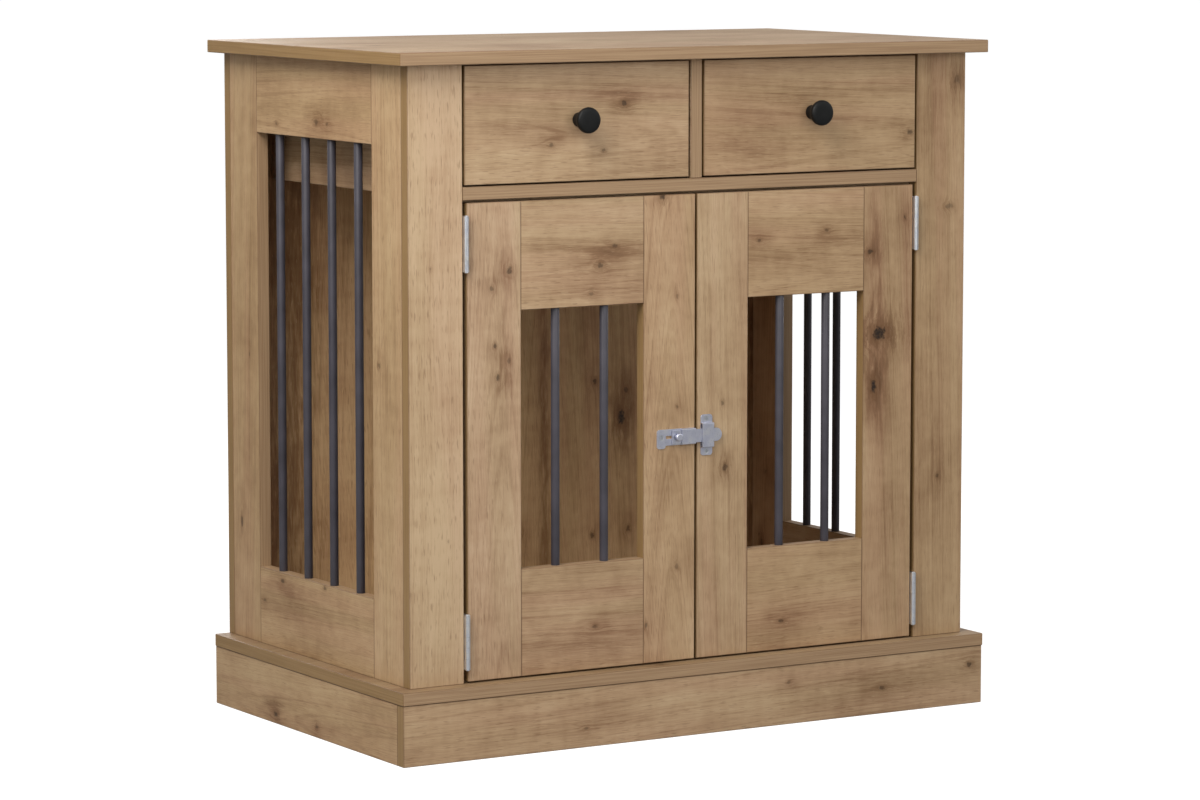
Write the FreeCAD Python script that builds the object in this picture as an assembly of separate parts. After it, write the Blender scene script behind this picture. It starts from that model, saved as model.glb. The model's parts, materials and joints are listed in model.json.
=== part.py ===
import FreeCAD, Part
import math
import os

# Dog crate end table, in millimetres. X to the right, Y to the back, Z up.
# The origin lies on the floor, under the middle of the object's bounding box.

# overall sizes
top_width = 800.0
top_depth = 482.0
total_height = 803.0
board = 15.0                  # thickness of every oak board
plinth_height = 70.0
plinth_inset = 1.0            # plinth faces behind the floor board's edges
top_overhang = 19.5           # tabletop and floor board past the body, front and sides
rear_overhang = 6.0           # tabletop past the back panel

# body
post_width = 70.0
side_stile_width = 70.0
side_rail_width = 92.0
drawer_bay_height = 138.0
tenon_length = 12.0
tenon_thickness = 7.0
tenon_shoulder = 10.0
edge_ease = 0.5               # chamfer on the edges of the boards
top_edge_radius = 1.2         # rounding of the tabletop's and floor board's edges

# doors
hinge_gap = 5.5
meeting_gap = 3.0
door_bottom_gap = 2.0
door_top_gap = 3.0
door_stile_width = 70.0
door_rail_width = 124.0
stop_height = 12.0            # batten under the shelf that the doors close against
stop_clearance = 0.5          # doors' backs to the batten
stop_overlap = 5.0            # batten's ends past the doorway, behind the posts
stop_screw_length = 22.0
stop_screw_inset = 50.0       # from the batten's ends

# bars
bar_diameter = 10.0
bar_wall = 1.0
bar_pitch = 65.0
bar_seat = 12.0               # length of bar inside each rail
bar_clearance = 0.1           # radial, in its socket
side_bar_count = 4
door_bar_count = 2

# hinges
hinge_length = 63.0
hinge_inset = 14.5            # from the door's end to the hinge's end
knuckle_count = 5
knuckle_radius = 3.2
knuckle_standoff = 0.3        # knuckles clear of the door's front face
knuckle_play = 0.2            # between neighbouring knuckles
leaf_thickness = 1.5
leaf_depth = 13.0             # of the leaf on the board's edge
pin_radius = 1.5
pin_clearance = 0.05
pin_head_radius = 2.3
pin_head_height = 0.8
hinge_screw_count = 3

# countersunk screws
screw_shank_radius = 1.75
screw_head_radius = 3.2
screw_head_height = 1.4
screw_length = 14.0
recess_length = 3.6           # cross recess of the head
recess_width = 0.9
recess_depth = 0.9
hole_clearance = 0.1

# long board screws
board_screw_radius = 2.5
board_screw_head_radius = 4.5
board_screw_head_height = 2.5
board_screw_length = 48.0

# cam fittings
cam_radius = 7.5
cam_depth = 12.0
cam_distance = 30.0           # from the board's end to the cam's centre
cam_bolt_radius = 3.0
cam_bolt_grip = 10.0          # screwed into the other board
fitting_setback = 70.0        # fittings from the ends of long joints

# drawers
drawer_side_gap = 3.0         # front board to divider or post
drawer_edge_gap = 2.0         # front board to shelf and tabletop
drawer_box_height = 100.0
drawer_box_length = 380.0
drawer_box_lift = 12.0        # box above the shelf
drawer_wall = 12.0
drawer_bottom_thickness = 4.0
drawer_groove = 5.0
drawer_bottom_lift = 8.0
runner_space = 13.0           # box side to bay wall
runner_sheet = 1.2
runner_length = 350.0
runner_height = 19.2
runner_flange = 8.3
runner_front_gap = 2.0
slider_flange = 8.8
slider_height = 17.0
roller_radius = 7.0
roller_width = 6.0
roller_end = 12.0             # roller's centre from the runner's end
roller_play = 0.3
axle_radius = 2.3
slider_roller_gap = 0.9       # slider's roller to the channel's web
box_screw_inset = 25.0        # from the box's top and bottom edges
drawer_travel = 260.0

# knobs
knob_radius = 15.0
knob_projection = 27.0
knob_disc = 9.0
knob_neck_radius = 7.4
knob_foot_radius = 7.0
knob_foot_height = 3.0
knob_cone_radius = 11.0       # where the neck runs out into the disc's back
knob_rim = 3.0                # rounding of the disc's rim
knob_lift = 3.0               # above the middle of the drawer's front
knob_screw_radius = 2.0
knob_screw_head_radius = 4.0
knob_screw_head_height = 2.5
knob_screw_reach = 12.0       # into the knob

# latch
latch_height = 350.0          # centre line above the floor
latch_sheet = 1.2
latch_base_length = 51.0
latch_base_height = 19.0
latch_base_end = 3.0          # base plate's end to the middle of the meeting gap
latch_pad_length = 12.0
latch_pad_drop = 3.5            # pad below the base plate's lower edge
latch_corner = 3.5
bolt_height = 15.5
bolt_thickness = 2.4
bolt_play = 0.3
bolt_tip = 33.5               # tip past the middle of the meeting gap
bolt_drawn = 0.0              # the same when the bolt is drawn
bolt_tail_length = 7.5        # past the rivet's middle
guide_length = 19.0
lug_size = 3.0
lug_reach = 0.9               # of the stop lug into the base plate's slot
lug_start = 5.0               # lug's right side before the middle of the meeting gap
rivet_gap = 0.5               # rivet's head to the guide
rivet_radius = 4.5
rivet_neck_radius = 2.5
rivet_height = 5.0
rivet_head_height = 2.6
keeper_start = 6.0
keeper_width = 16.0
keeper_height = 48.0
keeper_bridge_height = 29.0
keeper_screw_offset = 19.0
latch_screw_inset = 15.0      # hidden screws from the base plate's end
latch_screw_offset = 5.5      # hidden screws above and below the centre line

# places worked out from the sizes
knob_reach = knob_projection - top_overhang
top_back = (top_depth + knob_reach) / 2
top_front = top_back - top_depth
body_front = top_front + top_overhang
body_back = top_back - rear_overhang
post_back = body_front + board
panel_front = body_back - board
half_width = top_width / 2
body_half = half_width - top_overhang
side_inner = body_half - board
opening_half = body_half - post_width
floor_top = plinth_height + board
top_under = total_height - board
shelf_top = top_under - drawer_bay_height
shelf_under = shelf_top - board
divider_half = board / 2
door_bottom = floor_top + door_bottom_gap
door_top = shelf_under - door_top_gap
door_outer = opening_half - hinge_gap
door_inner = meeting_gap / 2
axis_x = opening_half - hinge_gap / 2
axis_y = body_front - knuckle_radius - knuckle_standoff
bar_radius = bar_diameter / 2
side_middle = body_half - board / 2
door_middle = body_front + board / 2
latch_base_start = -latch_base_end - latch_base_length
rivet_x = -latch_base_end - guide_length - rivet_gap - rivet_radius
bolt_travel = bolt_tip - bolt_drawn

X = FreeCAD.Vector(1, 0, 0)
Y = FreeCAD.Vector(0, 1, 0)
Z = FreeCAD.Vector(0, 0, 1)
parallel_tolerance = 0.000001
full_turn = 360.0


def point(x, y, z):
    return FreeCAD.Vector(x, y, z)


def block(x, y, z):
    """A box between two values on each axis, given in either order."""
    low = point(min(x), min(y), min(z))
    return Part.makeBox(abs(x[1] - x[0]), abs(y[1] - y[0]), abs(z[1] - z[0]), low)


def eased(x, y, z):
    """A board with its edges taken off."""
    shape = block(x, y, z)
    return shape.makeChamfer(edge_ease, shape.Edges)


def rod(radius, start, direction, length):
    return Part.makeCylinder(radius, length, start, direction)


def cut_near(shape, tools):
    """Cut the shape with those of the tools whose boxes meet its box."""
    near = [tool for tool in tools if tool.BoundBox.intersect(shape.BoundBox)]
    return shape.cut(near) if near else shape


def save(name, shapes):
    shape = shapes[0] if len(shapes) == 1 else Part.makeCompound(shapes)
    shape.exportStep("parts/" + name + ".step")
    for solid in shape.Solids:
        if not solid.isValid():
            print("not valid:", name)
    print(name, len(shape.Solids), "solids", round(shape.Volume / 1000.0, 2), "cm3")


# fasteners: each maker gives the fastener and the hole that it needs

def placed(shape, start, direction):
    """A shape made upright at the origin, turned to a direction and moved to its start."""
    shape.Placement = FreeCAD.Placement(start, FreeCAD.Rotation(Z, direction))
    return shape


def countersunk_form(radius, head_radius, head_height, length):
    origin = point(0, 0, 0)
    return Part.makeCone(head_radius, radius, head_height, origin, Z).fuse(rod(radius, origin, Z, length))


def cross_recess():
    half = recess_length / 2
    narrow = recess_width / 2
    one = block((-half, half), (-narrow, narrow), (0, recess_depth))
    return one.fuse(block((-narrow, narrow), (-half, half), (0, recess_depth)))


def countersunk(mouth, direction, radius, head_radius, head_height, length):
    """A countersunk screw whose head is flush at its mouth, and its hole."""
    screw = countersunk_form(radius, head_radius, head_height, length).cut(cross_recess())
    hole = countersunk_form(radius + hole_clearance, head_radius + hole_clearance, head_height, length)
    return placed(screw, mouth, direction), placed(hole, mouth, direction)


def small_screw(mouth, direction):
    return countersunk(mouth, direction, screw_shank_radius, screw_head_radius, screw_head_height, screw_length)


def board_screw(mouth, direction):
    return countersunk(
        mouth, direction, board_screw_radius, board_screw_head_radius, board_screw_head_height, board_screw_length
    )


def cam_fitting(mouth, inward, face):
    """A cam in the board that lies inward of the mouth, and its bolt in the other board."""
    start = mouth - inward * cam_bolt_grip
    bolt = rod(cam_bolt_radius, start, inward, cam_bolt_grip + cam_distance)
    bolt_hole = rod(cam_bolt_radius + hole_clearance, start, inward, cam_bolt_grip + cam_distance)
    centre = mouth + inward * cam_distance + face * (board / 2)
    cam_hole = rod(cam_radius + hole_clearance, centre, face * -1, cam_depth)
    cam = rod(cam_radius, centre, face * -1, cam_depth).cut(bolt_hole)
    return [bolt, cam], [bolt_hole, cam_hole]


cabinet_fasteners = []
cabinet_holes = []


def add_cabinet(solids, holes):
    cabinet_fasteners.extend(solids)
    cabinet_holes.extend(holes)


def cabinet_screw(maker, mouth, direction):
    screw, hole = maker(mouth, direction)
    add_cabinet([screw], [hole])


# cabinet

def rounded_board(x, y, z):
    shape = block(x, y, z)
    return shape.makeFillet(top_edge_radius, shape.Edges)


def tabletop():
    return rounded_board((-half_width, half_width), (top_front, top_back), (top_under, total_height))


def floor_board():
    return rounded_board((-half_width, half_width), (top_front, body_back), (plinth_height, floor_top))


plinth_half = half_width - plinth_inset
plinth_front_y = top_front + plinth_inset


def plinth():
    """The front board covers the ends of the side boards, and the back board stands between them."""
    height = (0, plinth_height)
    behind = plinth_front_y + board
    pieces = {}
    pieces["plinth_front"] = eased((-plinth_half, plinth_half), (plinth_front_y, behind), height)
    for name, side in (("left", -1), ("right", 1)):
        x = (side * plinth_half, side * (plinth_half - board))
        pieces["plinth_" + name] = eased(x, (behind, body_back), height)
    inner = plinth_half - board
    pieces["plinth_back"] = eased((-inner, inner), (body_back - board, body_back), height)
    return pieces


def side_frame(name, side):
    """Stiles at the front and back, rails between them, and bars in the rails' sockets."""
    x = (side * body_half, side * side_inner)
    front = (post_back, post_back + side_stile_width)
    rear = (panel_front - side_stile_width, panel_front)
    low = (floor_top, floor_top + side_rail_width)
    high = (top_under - side_rail_width, top_under)
    tenon_x = (side * (side_middle - tenon_thickness / 2), side * (side_middle + tenon_thickness / 2))
    rails = {}
    tenons = []
    for rail, z in (("top_rail", high), ("bottom_rail", low)):
        inset = (z[0] + tenon_shoulder, z[1] - tenon_shoulder)
        pair = [
            block(tenon_x, (front[1] - tenon_length, front[1] + edge_ease), inset),
            block(tenon_x, (rear[0] - edge_ease, rear[0] + tenon_length), inset),
        ]
        rails[rail] = eased(x, (front[1], rear[0]), z).fuse(pair)
        tenons.extend(pair)
    stiles = {}
    for stile, y in (("front_stile", front), ("rear_stile", rear)):
        stiles[stile] = eased(x, y, (floor_top, top_under)).cut(tenons)
    middle = (front[1] + rear[0]) / 2
    bars, sockets = bar_row(side_bar_count, low[1], high[0], lambda step: (side * side_middle, middle + step))
    pieces = {name + "_side_bars": bars}
    for rail in rails:
        pieces[name + "_side_" + rail] = [cut_near(rails[rail], sockets)]
    for stile in stiles:
        pieces[name + "_side_" + stile] = [stiles[stile]]
    return pieces


def bar_row(count, low, high, place):
    """Upright tubes between two heights, and the sockets that hold their ends."""
    bars = []
    sockets = []
    for index in range(count):
        x, y = place((index - (count - 1) / 2) * bar_pitch)
        start = point(x, y, low - bar_seat)
        length = high - low + 2 * bar_seat
        bars.append(rod(bar_radius, start, Z, length).cut(rod(bar_radius - bar_wall, start, Z, length)))
        sockets.append(rod(bar_radius + bar_clearance, start, Z, length))
    return bars, sockets


def front_post(side):
    x = (side * body_half, side * opening_half)
    return eased(x, (body_front, post_back), (floor_top, top_under))


def back_panel():
    return eased((-body_half, body_half), (panel_front, body_back), (floor_top, top_under))


def shelf():
    return eased((-opening_half, opening_half), (body_front, panel_front), (shelf_under, shelf_top))


def door_stop():
    """A batten behind the tops of both doors, screwed up into the shelf."""
    half = opening_half + stop_overlap
    y = (post_back + stop_clearance, post_back + stop_clearance + board)
    z = (shelf_under - stop_height, shelf_under)
    for x in (stop_screw_inset - half, 0, half - stop_screw_inset):
        mouth = point(x, (y[0] + y[1]) / 2, z[0])
        screw, hole = countersunk(mouth, Z, screw_shank_radius, screw_head_radius,
                                  screw_head_height, stop_screw_length)
        add_cabinet([screw], [hole])
    return eased((-half, half), y, z)


def divider():
    return eased((-divider_half, divider_half), (body_front, panel_front), (shelf_top, top_under))


def bay_panel(side):
    x = (side * opening_half, side * (opening_half + board))
    return eased(x, (post_back, panel_front), (shelf_under, top_under))


def place_cabinet_fasteners():
    post_middle_x = (body_half + opening_half) / 2
    post_middle_y = (body_front + post_back) / 2
    stile_front_y = post_back + side_stile_width / 2
    stile_rear_y = panel_front - side_stile_width / 2
    panel_x = opening_half + board / 2
    shelf_middle = (shelf_under + shelf_top) / 2
    for side in (-1, 1):
        for y in (stile_front_y, stile_rear_y):
            cabinet_screw(board_screw, point(side * side_middle, y, plinth_height), Z)
            add_cabinet(*cam_fitting(point(side * side_middle, y, top_under), Z * -1, X * -side))
        cabinet_screw(board_screw, point(side * post_middle_x, post_middle_y, plinth_height), Z)
        add_cabinet(*cam_fitting(point(side * post_middle_x, post_middle_y, top_under), Z * -1, Y))
        for z in (shelf_under - board, (floor_top + shelf_under) / 2, floor_top + side_rail_width):
            cabinet_screw(board_screw, point(side * side_middle, body_back, z), Y * -1)
            add_cabinet(*cam_fitting(point(side * side_middle, post_back, z + board), Y, X * -side))
        cabinet_screw(board_screw, point(side * panel_x, body_back, (shelf_top + top_under) / 2), Y * -1)
        for y in (post_back + fitting_setback, panel_front - fitting_setback):
            add_cabinet(*cam_fitting(point(side * opening_half, y, shelf_middle), X * -side, Z * -1))
            plinth_x = plinth_half - board / 2
            add_cabinet(*cam_fitting(point(side * plinth_x, y, plinth_height), Z * -1, X * -side))
        add_cabinet(*cam_fitting(point(side * panel_x, (post_back + panel_front) / 2, top_under), Z * -1, X * side))
        plinth_y = plinth_front_y + board / 2
        add_cabinet(*cam_fitting(point(side * opening_half, plinth_y, plinth_height), Z * -1, Y))
        cabinet_screw(board_screw, point(side * opening_half / 2, body_back, shelf_middle), Y * -1)
        back_y = body_back - board / 2
        add_cabinet(*cam_fitting(point(side * opening_half, back_y, plinth_height), Z * -1, Y * -1))
    cabinet_screw(board_screw, point(0, body_back, (shelf_top + top_under) / 2), Y * -1)


# hinges: the axis of each stands in front of its gap

def hinge_heights():
    half = hinge_length / 2
    return (door_bottom + hinge_inset + half, door_top - hinge_inset - half)


def knuckles(side, middle, mine):
    """The knuckles of one leaf, as cylinders, and the room that the other leaf's knuckles need."""
    pitch = hinge_length / knuckle_count
    base = middle - hinge_length / 2
    own = []
    room = []
    for index in range(knuckle_count):
        start = point(side * axis_x, axis_y, base + index * pitch)
        if index % 2 == mine:
            start.z += knuckle_play / 2
            own.append(rod(knuckle_radius, start, Z, pitch - knuckle_play))
        else:
            start.z -= knuckle_play / 2
            room.append(rod(knuckle_radius + knuckle_standoff, start, Z, pitch + knuckle_play))
    return own, room


def leaf(side, middle, edge_x, inner_x, mine):
    """A plate on a board's edge, joined to its knuckles, with the pin's bore through them."""
    half = hinge_length / 2
    plate = block((side * edge_x, side * inner_x), (axis_y, body_front + leaf_depth), (middle - half, middle + half))
    own, room = knuckles(side, middle, mine)
    shape = plate.fuse(own).cut(room)
    bore = rod(pin_radius + pin_clearance, point(side * axis_x, axis_y, middle - half), Z, hinge_length)
    return shape.cut(bore)


def pin(side, middle):
    half = hinge_length / 2
    low = point(side * axis_x, axis_y, middle - half)
    high = point(side * axis_x, axis_y, middle + half)
    shaft = rod(pin_radius, low, Z, hinge_length)
    heads = [
        rod(pin_head_radius, low, Z * -1, pin_head_height),
        rod(pin_head_radius, high, Z, pin_head_height),
    ]
    return shaft.fuse(heads)


def hinge_screws(side, middle, surface_x, direction):
    """Screws down the middle of a leaf."""
    made = []
    holes = []
    pitch = hinge_length / (hinge_screw_count + 1)
    y = body_front + leaf_depth / 2
    for index in range(hinge_screw_count):
        z = middle - hinge_length / 2 + (index + 1) * pitch
        screw, hole = small_screw(point(side * surface_x, y, z), direction)
        made.append(screw)
        holes.append(hole)
    return made, holes


def post_hinge_parts(side):
    """Leaves on the post's edge with their pins, and the screws, for one door."""
    parts = []
    surface = opening_half - leaf_thickness
    for middle in hinge_heights():
        screws, holes = hinge_screws(side, middle, surface, X * side)
        parts.append(leaf(side, middle, opening_half, surface, 0).cut(holes))
        parts.append(pin(side, middle))
        add_cabinet(screws, holes)
    return parts


# doors

def door(name, side):
    """A framed door with two bars. Its front is flush with the posts."""
    y = (body_front, post_back)
    hinge_x = (door_outer - door_stile_width, door_outer)
    lock_x = (door_inner, door_inner + door_stile_width)
    low = (door_bottom, door_bottom + door_rail_width)
    high = (door_top - door_rail_width, door_top)
    tenon_y = (door_middle - tenon_thickness / 2, door_middle + tenon_thickness / 2)
    screws = []
    holes = []
    leaves = []
    surface = door_outer + leaf_thickness
    for middle in hinge_heights():
        made, drilled = hinge_screws(side, middle, surface, X * -side)
        leaves.append(leaf(side, middle, door_outer, surface, 1).cut(drilled))
        screws.extend(made)
        holes.extend(drilled)
    rails = {}
    tenons = []
    for rail, z in (("top_rail", high), ("bottom_rail", low)):
        inset = (z[0] + tenon_shoulder, z[1] - tenon_shoulder)
        pair = [
            block((side * (lock_x[1] - tenon_length), side * (lock_x[1] + edge_ease)), tenon_y, inset),
            block((side * (hinge_x[0] - edge_ease), side * (hinge_x[0] + tenon_length)), tenon_y, inset),
        ]
        rails[rail] = eased((side * lock_x[1], side * hinge_x[0]), y, z).fuse(pair)
        tenons.extend(pair)
    middle_x = (lock_x[1] + hinge_x[0]) / 2
    bars, sockets = bar_row(door_bar_count, low[1], high[0], lambda step: (side * middle_x + step, door_middle))
    height = (door_bottom, door_top)
    pieces = {}
    pieces[name + "_bars"] = bars
    pieces[name + "_hinge_leaves"] = leaves
    for rail in rails:
        pieces[name + "_" + rail] = [cut_near(rails[rail], sockets)]
    pieces[name + "_hinge_stile"] = [eased((side * hinge_x[0], side * hinge_x[1]), y, height).cut(tenons + holes)]
    lock_stile = eased((side * lock_x[0], side * lock_x[1]), y, height).cut(tenons)
    latch_screws = []
    latch_holes = []
    for mouth in latch_screw_mouths(side):
        screw, hole = small_screw(mouth, Y)
        latch_screws.append(screw)
        latch_holes.append(hole)
    pieces[name + "_lock_stile"] = [lock_stile.cut(latch_holes)]
    pieces[name + "_screws"] = screws + latch_screws
    plate_name, plate = ("latch_plate", latch_plate()) if side < 0 else ("latch_keeper", latch_keeper())
    pieces[plate_name] = [plate.cut(latch_holes)]
    return pieces


# latch: a flat bolt that slides to the left, out of the keeper on the right door

plate_y = body_front - latch_sheet
bolt_back = plate_y - bolt_play
bolt_front = bolt_back - bolt_thickness
guide_under = bolt_front - bolt_play
guide_front = guide_under - latch_sheet


def latch_screw_mouths(side):
    if side < 0:
        hidden_x = -latch_base_end - latch_screw_inset
        low = point(hidden_x, plate_y, latch_height - latch_screw_offset)
        high = point(hidden_x, plate_y, latch_height + latch_screw_offset)
        return [low, high, point(latch_base_start + latch_pad_length / 2, plate_y, latch_height)]
    x = keeper_start + keeper_width / 2
    return [point(x, plate_y, latch_height + step) for step in (-keeper_screw_offset, keeper_screw_offset)]


def rounded_plate(x, z, y, radius):
    """A flat plate standing in the X and Z directions, with its corners rounded."""
    shape = block(x, y, z)
    corners = [edge for edge in shape.Edges if is_along(edge, Y)]
    return shape.makeFillet(radius, corners)


def is_along(edge, direction):
    run = edge.Vertexes[-1].Point - edge.Vertexes[0].Point
    return run.cross(direction).Length < parallel_tolerance


def bridge(x, half_inner, back_y):
    """Two cheeks and a roof over the bolt."""
    half_outer = half_inner + latch_sheet
    outer = block(x, (back_y, guide_front), (latch_height - half_outer, latch_height + half_outer))
    long_edges = [edge for edge in outer.Edges if is_along(edge, X) and edge.BoundBox.YMax < back_y]
    outer = outer.makeFillet(latch_sheet, long_edges)
    inner = block(x, (back_y, guide_under), (latch_height - half_inner, latch_height + half_inner))
    return outer.cut(inner)


def latch_plate():
    start = latch_base_start
    y = (body_front, plate_y)
    half = latch_base_height / 2
    strip = block((start, -latch_base_end), y, (latch_height - half, latch_height + half))
    pad_z = (latch_height - half - latch_pad_drop, latch_height + half)
    pad = rounded_plate((start, start + latch_pad_length), pad_z, y, latch_corner)
    strip = strip.cut(block((start, start + latch_pad_length / 2), y, pad_z))
    guide_x = (-latch_base_end - guide_length, -latch_base_end)
    guide = bridge(guide_x, bolt_height / 2 + bolt_play, plate_y)
    slot_x = (-lug_start - lug_size - bolt_travel - bolt_play, -lug_start + bolt_play)
    slot_half = lug_size / 2 + bolt_play
    slot = block(slot_x, y, (latch_height - slot_half, latch_height + slot_half))
    return strip.fuse([pad, guide]).cut(slot).removeSplitter()


def latch_keeper():
    x = (keeper_start, keeper_start + keeper_width)
    half = keeper_height / 2
    strap = rounded_plate(x, (latch_height - half, latch_height + half), (body_front, plate_y), latch_corner)
    inner_half = keeper_bridge_height / 2 - latch_sheet
    hump = bridge(x, inner_half, plate_y)
    return strap.fuse(hump).removeSplitter()


def latch_bolt():
    """A flat bar with a rounded tip, a stop lug behind it and a riveted knob in front."""
    half = bolt_height / 2
    straight = bolt_tip - half
    z = (latch_height - half, latch_height + half)
    bar = block((rivet_x - bolt_tail_length, straight), (bolt_back, bolt_front), z)
    tip = rod(half, point(straight, bolt_front, latch_height), Y, bolt_thickness)
    lug_x = (-lug_start - lug_size, -lug_start)
    lug = block(lug_x, (bolt_back, bolt_back + lug_reach), (latch_height - lug_size / 2, latch_height + lug_size / 2))
    bar = bar.fuse([tip, lug]).removeSplitter()
    neck_start = point(rivet_x, bolt_front + bolt_thickness / 2, latch_height)
    neck_length = bolt_thickness / 2 + rivet_height - rivet_head_height
    neck = rod(rivet_neck_radius, neck_start, Y * -1, neck_length)
    head_start = point(rivet_x, bolt_front - rivet_height + rivet_head_height, latch_height)
    head = rod(rivet_radius, head_start, Y * -1, rivet_head_height)
    rim = [edge for edge in head.Edges if edge.BoundBox.YMax < head_start.y - rivet_head_height / 2]
    head = head.makeFillet(rivet_head_height / 2, rim)
    return [bar.cut(neck), neck.fuse(head)]


# drawers

def knob(x, z):
    """A knob turned about an axis along Y: foot, neck that widens to the front, disc with a rounded rim."""
    face = body_front
    disc_back = knob_projection - knob_disc
    outline = [
        point(0, 0, 0),
        point(knob_foot_radius, 0, 0),
        point(knob_foot_radius, -knob_foot_height, 0),
        point(knob_neck_radius, -(knob_foot_height + disc_back) / 2, 0),
        point(knob_cone_radius, -disc_back, 0),
        point(knob_radius - knob_rim, -disc_back, 0),
    ]
    curve = knob_rim * (1 - math.sqrt(0.5))
    low_mid = point(knob_radius - curve, -disc_back - curve, 0)
    low_end = point(knob_radius, -disc_back - knob_rim, 0)
    high_start = point(knob_radius, -knob_projection + knob_rim, 0)
    high_mid = point(knob_radius - curve, -knob_projection + curve, 0)
    high_end = point(knob_radius - knob_rim, -knob_projection, 0)
    edges = [Part.LineSegment(outline[0], outline[1]).toShape(), Part.LineSegment(outline[1], outline[2]).toShape()]
    edges.append(Part.Arc(outline[2], outline[3], outline[4]).toShape())
    edges.append(Part.LineSegment(outline[4], outline[5]).toShape())
    edges.append(Part.Arc(outline[5], low_mid, low_end).toShape())
    edges.append(Part.LineSegment(low_end, high_start).toShape())
    edges.append(Part.Arc(high_start, high_mid, high_end).toShape())
    edges.append(Part.LineSegment(high_end, point(0, -knob_projection, 0)).toShape())
    edges.append(Part.LineSegment(point(0, -knob_projection, 0), outline[0]).toShape())
    shape = Part.Face(Part.Wire(edges)).revolve(point(0, 0, 0), Y, full_turn)
    shape.translate(point(x, face, z))
    return shape


def knob_screw(x, z):
    """A pan-head screw from the inside of the drawer's front, and its hole."""
    head = rod(knob_screw_head_radius, point(x, post_back, z), Y, knob_screw_head_height)
    reach = board + knob_screw_reach
    screw = head.fuse(rod(knob_screw_radius, point(x, post_back, z), Y * -1, reach))
    hole = rod(knob_screw_radius + hole_clearance, point(x, post_back, z), Y * -1, reach)
    return screw, hole


def cabinet_runner(wall, inward, base):
    """A channel on the bay wall, open to the drawer, with a roller at its front."""
    y = (post_back + runner_front_gap, post_back + runner_front_gap + runner_length)
    web = block((wall, wall + inward * runner_sheet), y, (base, base + runner_height))
    reach = wall + inward * (runner_sheet + runner_flange)
    low = block((wall, reach), y, (base, base + runner_sheet))
    high = block((wall, reach), y, (base + runner_height - runner_sheet, base + runner_height))
    channel = web.fuse([low, high]).removeSplitter()
    start = wall + inward * (runner_sheet + roller_play)
    centre_z = base + slider_height - runner_sheet - roller_play - roller_radius
    roller = rod(roller_radius, point(start, y[0] + roller_end, centre_z), X * inward, roller_width)
    return [channel, roller]


def slider(wall, inward, base):
    """An angle on the drawer's side, with a roller at its back that runs in the channel."""
    y = (post_back, post_back + runner_length)
    side_x = wall + inward * runner_space
    web = block((side_x, side_x - inward * runner_sheet), y, (base, base + slider_height))
    flange_z = (base + slider_height - runner_sheet, base + slider_height)
    flange = block((side_x, side_x - inward * (runner_sheet + slider_flange)), y, flange_z)
    angle = web.fuse(flange).removeSplitter()
    start = wall + inward * (runner_sheet + slider_roller_gap)
    centre = point(start, y[1] - roller_end, base + runner_sheet + roller_play + roller_radius)
    roller = rod(roller_radius, centre, X * inward, roller_width)
    axle_length = runner_space - runner_sheet - abs(start - wall)
    axle = rod(axle_radius, centre, X * inward, axle_length)
    return [angle, roller.fuse(axle).removeSplitter()]


def drawer(name, side):
    """A front board, a box of two sides, back and bottom, sliders, knob and fasteners."""
    wall_low = side * divider_half
    wall_high = side * opening_half
    middle = (wall_low + wall_high) / 2
    half_bay = (opening_half - divider_half) / 2
    front_half = half_bay - drawer_side_gap
    box_half = half_bay - runner_space
    box_z = shelf_top + drawer_box_lift
    box_height = (box_z, box_z + drawer_box_height)
    box_y = (post_back, post_back + drawer_box_length)
    front_z = (shelf_top + drawer_edge_gap, top_under - drawer_edge_gap)
    bottom_z = (box_z + drawer_bottom_lift, box_z + drawer_bottom_lift + drawer_bottom_thickness)
    inner_half = box_half - drawer_wall
    reach = inner_half + drawer_groove
    bottom_y = (post_back - drawer_groove, box_y[1] - drawer_wall + drawer_groove)
    bottom = block((middle - reach, middle + reach), bottom_y, bottom_z)
    front = eased((middle - front_half, middle + front_half), (body_front, post_back), front_z)
    back = eased((middle - inner_half, middle + inner_half), (box_y[1] - drawer_wall, box_y[1]), box_height)
    knob_z = (front_z[0] + front_z[1]) / 2 + knob_lift
    screw, screw_hole = knob_screw(middle, knob_z)
    fasteners = [screw]
    holes = [screw_hole]
    sides = {}
    sliders = []
    for label, turn, wall in (("left", -1, min(wall_low, wall_high)), ("right", 1, max(wall_low, wall_high))):
        x = (middle + turn * inner_half, middle + turn * box_half)
        sides[label] = eased(x, box_y, box_height)
        sliders.extend(slider(wall, -turn, box_z))
        for z in (box_height[0] + box_screw_inset, box_height[1] - box_screw_inset):
            mouth = point(middle + turn * box_half, box_y[1] - drawer_wall / 2, z)
            made, hole = small_screw(mouth, X * -turn)
            fasteners.append(made)
            holes.append(hole)
    pieces = {}
    pieces[name + "_front"] = [front.cut(holes).cut(bottom)]
    pieces[name + "_back"] = [back.cut(holes).cut(bottom)]
    for label in sides:
        pieces[name + "_" + label + "_side"] = [sides[label].cut(holes).cut(bottom)]
    pieces[name + "_bottom"] = [bottom]
    pieces[name + "_sliders"] = sliders
    pieces[name + "_knob"] = [knob(middle, knob_z).cut(screw_hole)]
    pieces[name + "_screws"] = fasteners
    return pieces


def cabinet_runners():
    base = shelf_top + drawer_box_lift
    made = []
    for side in (-1, 1):
        made.extend(cabinet_runner(side * divider_half, side, base))
        made.extend(cabinet_runner(side * opening_half, -side, base))
    return made


os.makedirs("parts", exist_ok=True)

post_hinges = []
for side in (-1, 1):
    post_hinges.extend(post_hinge_parts(side))
place_cabinet_fasteners()

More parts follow.
